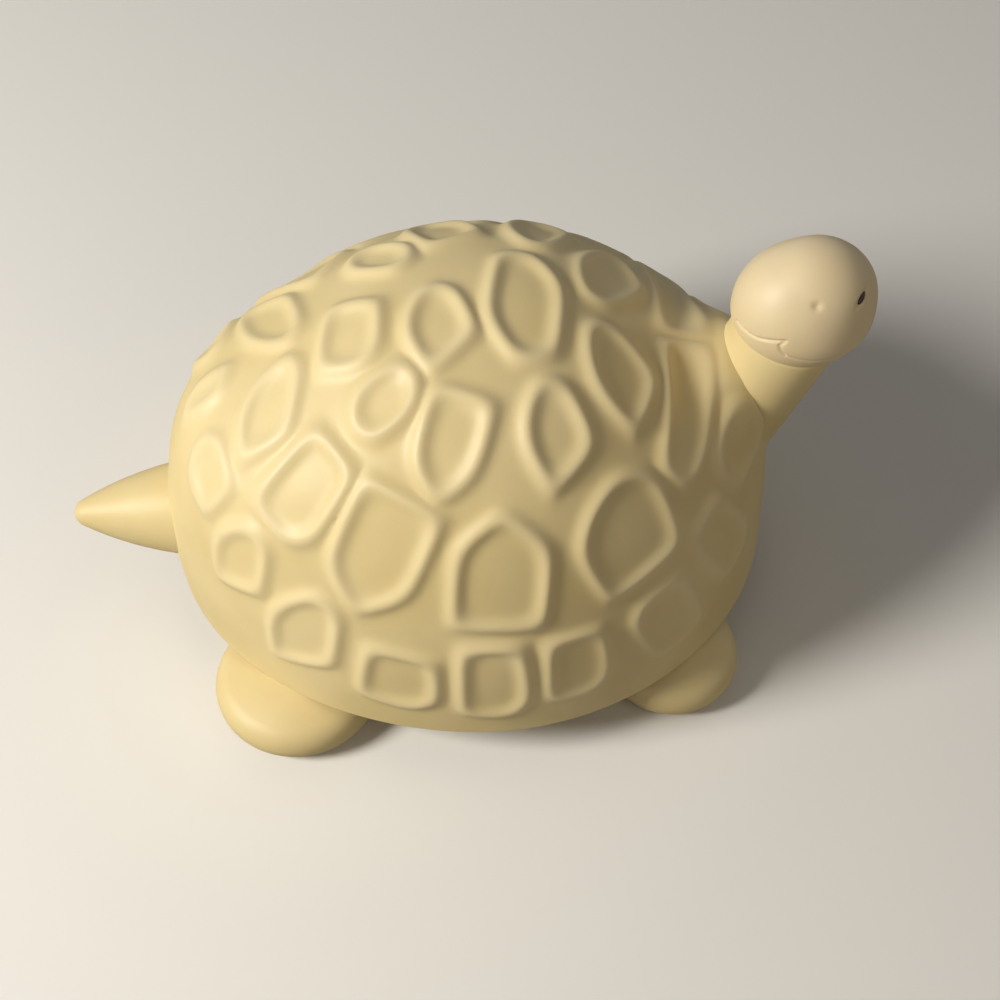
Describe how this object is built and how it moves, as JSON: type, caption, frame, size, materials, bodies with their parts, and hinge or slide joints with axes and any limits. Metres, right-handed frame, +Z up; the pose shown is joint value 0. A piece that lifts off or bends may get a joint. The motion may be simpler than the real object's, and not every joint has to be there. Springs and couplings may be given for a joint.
{
  "type": "turtle figurine",
  "caption": "Moulded turtle figurine with a tall domed shell, raised scute rims, round feet, a pointed tail and a ball head that turns.",
  "frame": {"origin": "on the ground, under the middle of the figure's length from tail tip to face", "axes": "+X forward to the face, +Y to the turtle's left, +Z up"},
  "size_m": [0.1474, 0.0946, 0.0848],
  "materials": {
    "vinyl": "cream, satin, slightly translucent soft vinyl",
    "pale_vinyl": "paler cream satin vinyl",
    "eye": "dark reddish black, glossy"
  },
  "bodies": {
    "body": {"shell": "vinyl", "belly_pan": "vinyl", "neck": "vinyl", "front_right_foot": "vinyl", "front_left_foot": "vinyl", "rear_right_foot": "vinyl", "rear_left_foot": "vinyl", "tail": "vinyl"},
    "turning_head": {"head": "pale_vinyl", "right_eye": "eye", "left_eye": "eye"}
  },
  "joints": [
    {"name": "head_turn", "type": "hinge", "parent": "body", "child": "turning_head", "pos_m": [0.05849, 0, 0.06353], "axis": [0.2419, 0, 0.9703], "range_deg": [-180, 180]}
  ]
}
